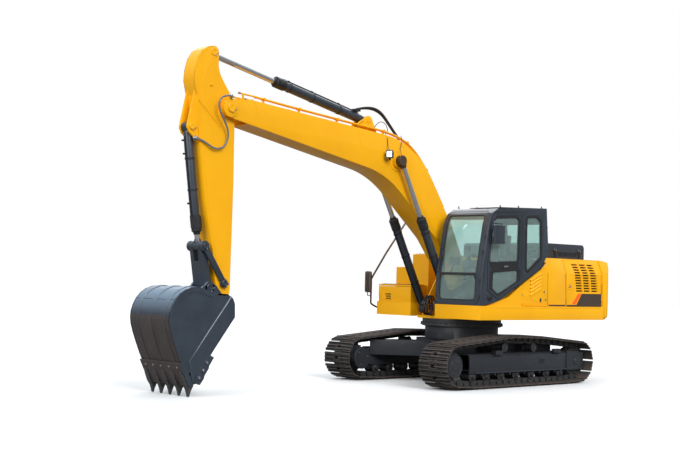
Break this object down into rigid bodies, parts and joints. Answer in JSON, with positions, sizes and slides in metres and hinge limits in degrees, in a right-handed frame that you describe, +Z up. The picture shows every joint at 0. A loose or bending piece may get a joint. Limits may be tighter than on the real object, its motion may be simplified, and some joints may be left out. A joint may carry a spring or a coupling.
{
  "type": "crawler excavator",
  "caption": "Yellow crawler excavator with a dark cab, a bent boom, an arm and a toothed bucket on steel tracks, with doors, hood and cylinders that move.",
  "frame": {"origin": "on the slewing axis, at ground level under the tracks", "axes": "+X forward, the way the cab and the boom face; +Y to the operator's left; +Z up. The undercarriage stands turned by 1.9 degrees under the house."},
  "size_m": [9.3537, 2.99, 5.1009],
  "materials": {
    "yellow_paint": "satin",
    "slate_paint": "satin",
    "black_paint": "satin",
    "track_steel": "worn",
    "worn_steel": "worn",
    "rod_chrome": "polished",
    "engine_metal": "cast",
    "cooler_metal": "matte",
    "tinted_glass": "polished",
    "seat_cloth": "woven",
    "console_plastic": "matte",
    "mirror_plastic": "matte",
    "lamp_plastic": "matte"
  },
  "bodies": {
    "undercarriage": {"center_frame": "slate_paint", "slew_ring": "worn_steel", "track_frames": "slate_paint", "tracks": "track_steel", "sprockets": "track_steel", "final_drives": "slate_paint", "idlers": "track_steel", "bottom_rollers": "worn_steel", "carrier_rollers": "worn_steel"},
    "house": {"swing_frame": "yellow_paint", "counterweight": "yellow_paint", "body_panels": "yellow_paint", "front_side_panel": "yellow_paint", "engine_block": "engine_metal", "radiator": "cooler_metal", "hydraulic_pumps": "worn_steel", "hydraulic_tank": "yellow_paint", "fuel_tank": "yellow_paint", "tool_box": "yellow_paint", "control_valves": "worn_steel", "swing_motor": "worn_steel", "cab": "slate_paint", "cab_glass": "tinted_glass", "operator_seat": "seat_cloth", "operator_console": "console_plastic", "right_mirror": "mirror_plastic", "right_handrail": "black_paint"},
    "cab_door": {"cab_door": "slate_paint", "door_glass": "tinted_glass", "left_mirror": "mirror_plastic"},
    "left_front_door": {"left_front_door": "yellow_paint"},
    "left_rear_door": {"left_rear_door": "yellow_paint"},
    "right_rear_door": {"right_rear_door": "yellow_paint"},
    "engine_hood": {"engine_hood": "black_paint"},
    "tool_box_lid": {"tool_box_lid": "yellow_paint"},
    "boom": {"boom": "yellow_paint", "boom_lamp": "lamp_plastic"},
    "boom_cylinder_barrels": {"boom_cylinder_barrel": "slate_paint"},
    "boom_cylinder_rods": {"boom_cylinder_rod": "rod_chrome"},
    "arm": {"arm": "yellow_paint"},
    "arm_cylinder_barrel": {"arm_cylinder_barrel": "slate_paint"},
    "arm_cylinder_rod": {"arm_cylinder_rod": "rod_chrome"},
    "bucket": {"bucket": "slate_paint", "bucket_teeth": "worn_steel"},
    "bucket_cylinder_barrel": {"bucket_cylinder_barrel": "slate_paint"},
    "bucket_cylinder_rod": {"bucket_cylinder_rod": "rod_chrome"},
    "idler_links": {"idler_links": "slate_paint"},
    "bucket_link": {"bucket_link": "slate_paint"}
  },
  "joints": [
    {"name": "slew", "type": "hinge", "parent": "undercarriage", "child": "house", "pos_m": [0, 0, 0.955], "axis": [0, 0, 1], "continuous": true},
    {"name": "boom_hinge", "type": "hinge", "parent": "house", "child": "boom", "pos_m": [0.16, -0.08, 1.806], "axis": [0, -1, 0], "range_deg": [-70, 37]},
    {"name": "arm_hinge", "type": "hinge", "parent": "boom", "child": "arm", "pos_m": [5.33, -0.08, 4.208], "axis": [0, 1, 0], "range_deg": [-80, 30]},
    {"name": "bucket_hinge", "type": "hinge", "parent": "arm", "child": "bucket", "pos_m": [5.334, -0.08, 1.28], "axis": [0, 1, 0], "range_deg": [-8, 155]},
    {"name": "boom_cylinder_foot", "type": "hinge", "parent": "house", "child": "boom_cylinder_barrels", "pos_m": [0.545, -0.08, 1.252], "axis": [0, -1, 0], "range_deg": [-68.9, 36.89]},
    {"name": "boom_cylinder_stroke", "type": "slide", "parent": "boom_cylinder_barrels", "child": "boom_cylinder_rods", "axis": [0.4681, 0, 0.8837], "range_m": [-0.7051, 0.375]},
    {"name": "arm_cylinder_foot", "type": "hinge", "parent": "boom", "child": "arm_cylinder_barrel", "pos_m": [2.411, -0.08, 4.335], "axis": [0, -1, 0], "range_deg": [-1.82, 3.2]},
    {"name": "arm_cylinder_stroke", "type": "slide", "parent": "arm_cylinder_barrel", "child": "arm_cylinder_rod", "axis": [0.978, 0, 0.2085], "range_m": [-1.0131, 0.383]},
    {"name": "bucket_cylinder_foot", "type": "hinge", "parent": "arm", "child": "bucket_cylinder_barrel", "pos_m": [5.937, -0.08, 3.882], "axis": [0, -1, 0], "range_deg": [-1.27, 6.21]},
    {"name": "bucket_cylinder_stroke", "type": "slide", "parent": "bucket_cylinder_barrel", "child": "bucket_cylinder_rod", "axis": [-0.1462, 0, -0.9893], "range_m": [-0.0547, 0.9673]},
    {"name": "idler_link_hinge", "type": "hinge", "parent": "arm", "child": "idler_links", "pos_m": [5.317, -0.08, 1.617], "axis": [0, 1, 0], "range_deg": [-6.08, 99.42]},
    {"name": "bucket_link_hinge", "type": "hinge", "parent": "idler_links", "child": "bucket_link", "pos_m": [5.681, -0.08, 2.15], "axis": [0, 1, 0], "range_deg": [-51.38, 3.6]},
    {"name": "cab_door_hinge", "type": "hinge", "parent": "house", "child": "cab_door", "pos_m": [-0.012, 1.3545, 1.85], "axis": [0, 0, 1], "range_deg": [0, 165]},
    {"name": "left_front_door_hinge", "type": "hinge", "parent": "house", "child": "left_front_door", "pos_m": [-0.047, 1.31, 1.4], "axis": [0, 0, 1], "range_deg": [-100, 0]},
    {"name": "left_rear_door_hinge", "type": "hinge", "parent": "house", "child": "left_rear_door", "pos_m": [-2.283, 1.31, 1.45], "axis": [0, 0, 1], "range_deg": [0, 100]},
    {"name": "right_rear_door_hinge", "type": "hinge", "parent": "house", "child": "right_rear_door", "pos_m": [-2.283, -1.31, 1.45], "axis": [0, 0, -1], "range_deg": [0, 100]},
    {"name": "engine_hood_hinge", "type": "hinge", "parent": "house", "child": "engine_hood", "pos_m": [-1.001, 0, 2.197], "axis": [0, 1, 0], "range_deg": [0, 55]},
    {"name": "tool_box_lid_hinge", "type": "hinge", "parent": "house", "child": "tool_box_lid", "pos_m": [0.366, -0.9, 1.655], "axis": [0, -1, 0], "range_deg": [0, 85]}
  ],
  "couplings": [
    {"joint": "boom_cylinder_foot", "follows": "boom_hinge", "ratio": 0.97},
    {"joint": "boom_cylinder_stroke", "follows": "boom_hinge", "m_per_rad": 0.573},
    {"joint": "arm_cylinder_foot", "follows": "arm_hinge", "ratio": -0.0275},
    {"joint": "arm_cylinder_stroke", "follows": "arm_hinge", "m_per_rad": 0.722},
    {"joint": "bucket_cylinder_foot", "follows": "bucket_hinge", "ratio": 0.0336},
    {"joint": "bucket_cylinder_stroke", "follows": "bucket_hinge", "m_per_rad": 0.3557},
    {"joint": "idler_link_hinge", "follows": "bucket_hinge", "ratio": 0.635},
    {"joint": "bucket_link_hinge", "follows": "bucket_hinge", "ratio": -0.325}
  ]
}
